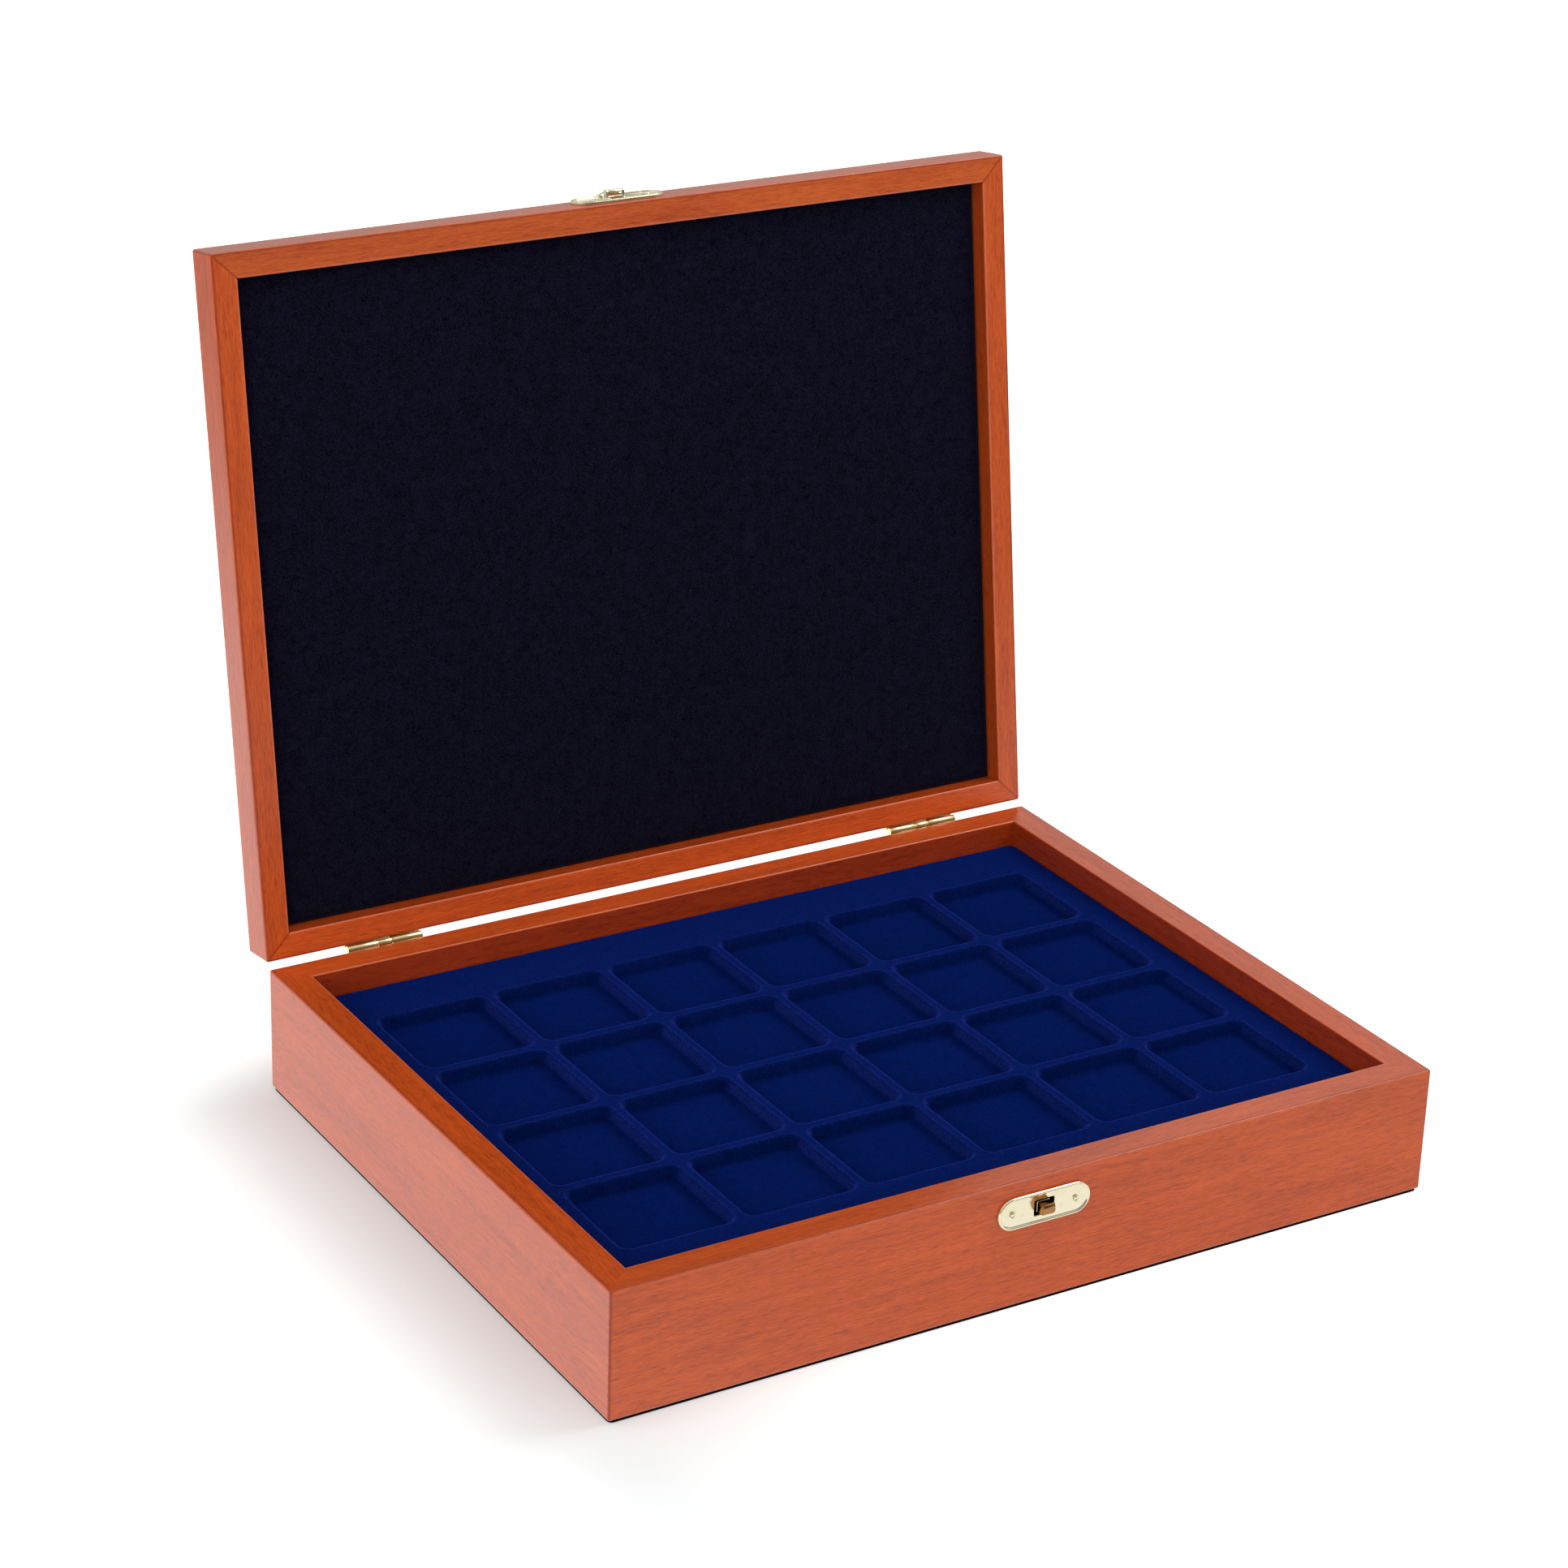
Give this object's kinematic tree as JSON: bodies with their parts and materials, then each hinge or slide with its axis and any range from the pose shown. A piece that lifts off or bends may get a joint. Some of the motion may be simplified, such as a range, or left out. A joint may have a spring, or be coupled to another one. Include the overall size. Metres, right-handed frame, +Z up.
{
  "type": "coin display case",
  "caption": "Hinged wooden display case with a brass hasp clasp, a velvet-lined lid and stacked lift-out flocked trays of square coin pockets.",
  "frame": {"origin": "middle of the felted underside, on the surface the case stands on", "axes": "+X to the right as seen from the clasp side, +Y from the clasp to the hinges, +Z up; the lid stands open against its hinge stops"},
  "size_m": [0.305, 0.3112, 0.2864],
  "materials": {
    "wood": "cherry-mahogany stain under satin lacquer, fine straight grain",
    "inner_wood": "thin board, sealed",
    "flock": "formed sheet with royal blue flock",
    "velvet": "near-black navy velvet on a board",
    "felt": "black felt",
    "brass": "pale polished brass",
    "bronze": "darkened brass"
  },
  "bodies": {
    "base": {"base_front_wall": "wood", "base_back_wall": "wood", "base_left_wall": "wood", "base_right_wall": "wood", "base_floor": "inner_wood", "underside_felt": "felt", "clasp_base_plate": "brass", "clasp_nose": "bronze", "clasp_base_nails": "brass", "hinge_left_base_leaf": "brass", "hinge_right_base_leaf": "brass", "hinge_left_pin": "brass", "hinge_right_pin": "brass", "hinge_base_screws": "brass"},
    "tray_bottom": {"tray_bottom": "flock"},
    "tray_middle": {"tray_middle": "flock"},
    "tray_top": {"tray_top": "flock"},
    "lid": {"lid_front_rail": "wood", "lid_back_rail": "wood", "lid_left_rail": "wood", "lid_right_rail": "wood", "lid_panel": "wood", "lid_liner": "velvet", "clasp_lid_plate": "brass", "clasp_lid_nails": "brass", "clasp_hasp_pin": "brass", "hinge_left_lid_leaf": "brass", "hinge_right_lid_leaf": "brass", "hinge_lid_screws": "brass"},
    "hasp": {"clasp_hasp": "brass"}
  },
  "joints": [
    {"name": "lid_hinge", "type": "hinge", "parent": "base", "child": "lid", "pos_m": [0, 0.1215, 0.0451], "axis": [-1, 0, 0], "range_deg": [-98, 0]},
    {"name": "clasp_hasp_hinge", "type": "hinge", "parent": "lid", "child": "hasp", "pos_m": [0, 0.16485, 0.2853], "axis": [-1, 0, 0], "range_deg": [-200, 0]},
    {"name": "tray_bottom_lift", "type": "slide", "parent": "base", "child": "tray_bottom", "axis": [0, 0, 1], "range_m": [0, 0.05]},
    {"name": "tray_middle_lift", "type": "slide", "parent": "tray_bottom", "child": "tray_middle", "axis": [0, 0, 1], "range_m": [0, 0.04]},
    {"name": "tray_top_lift", "type": "slide", "parent": "tray_middle", "child": "tray_top", "axis": [0, 0, 1], "range_m": [0, 0.03]}
  ]
}
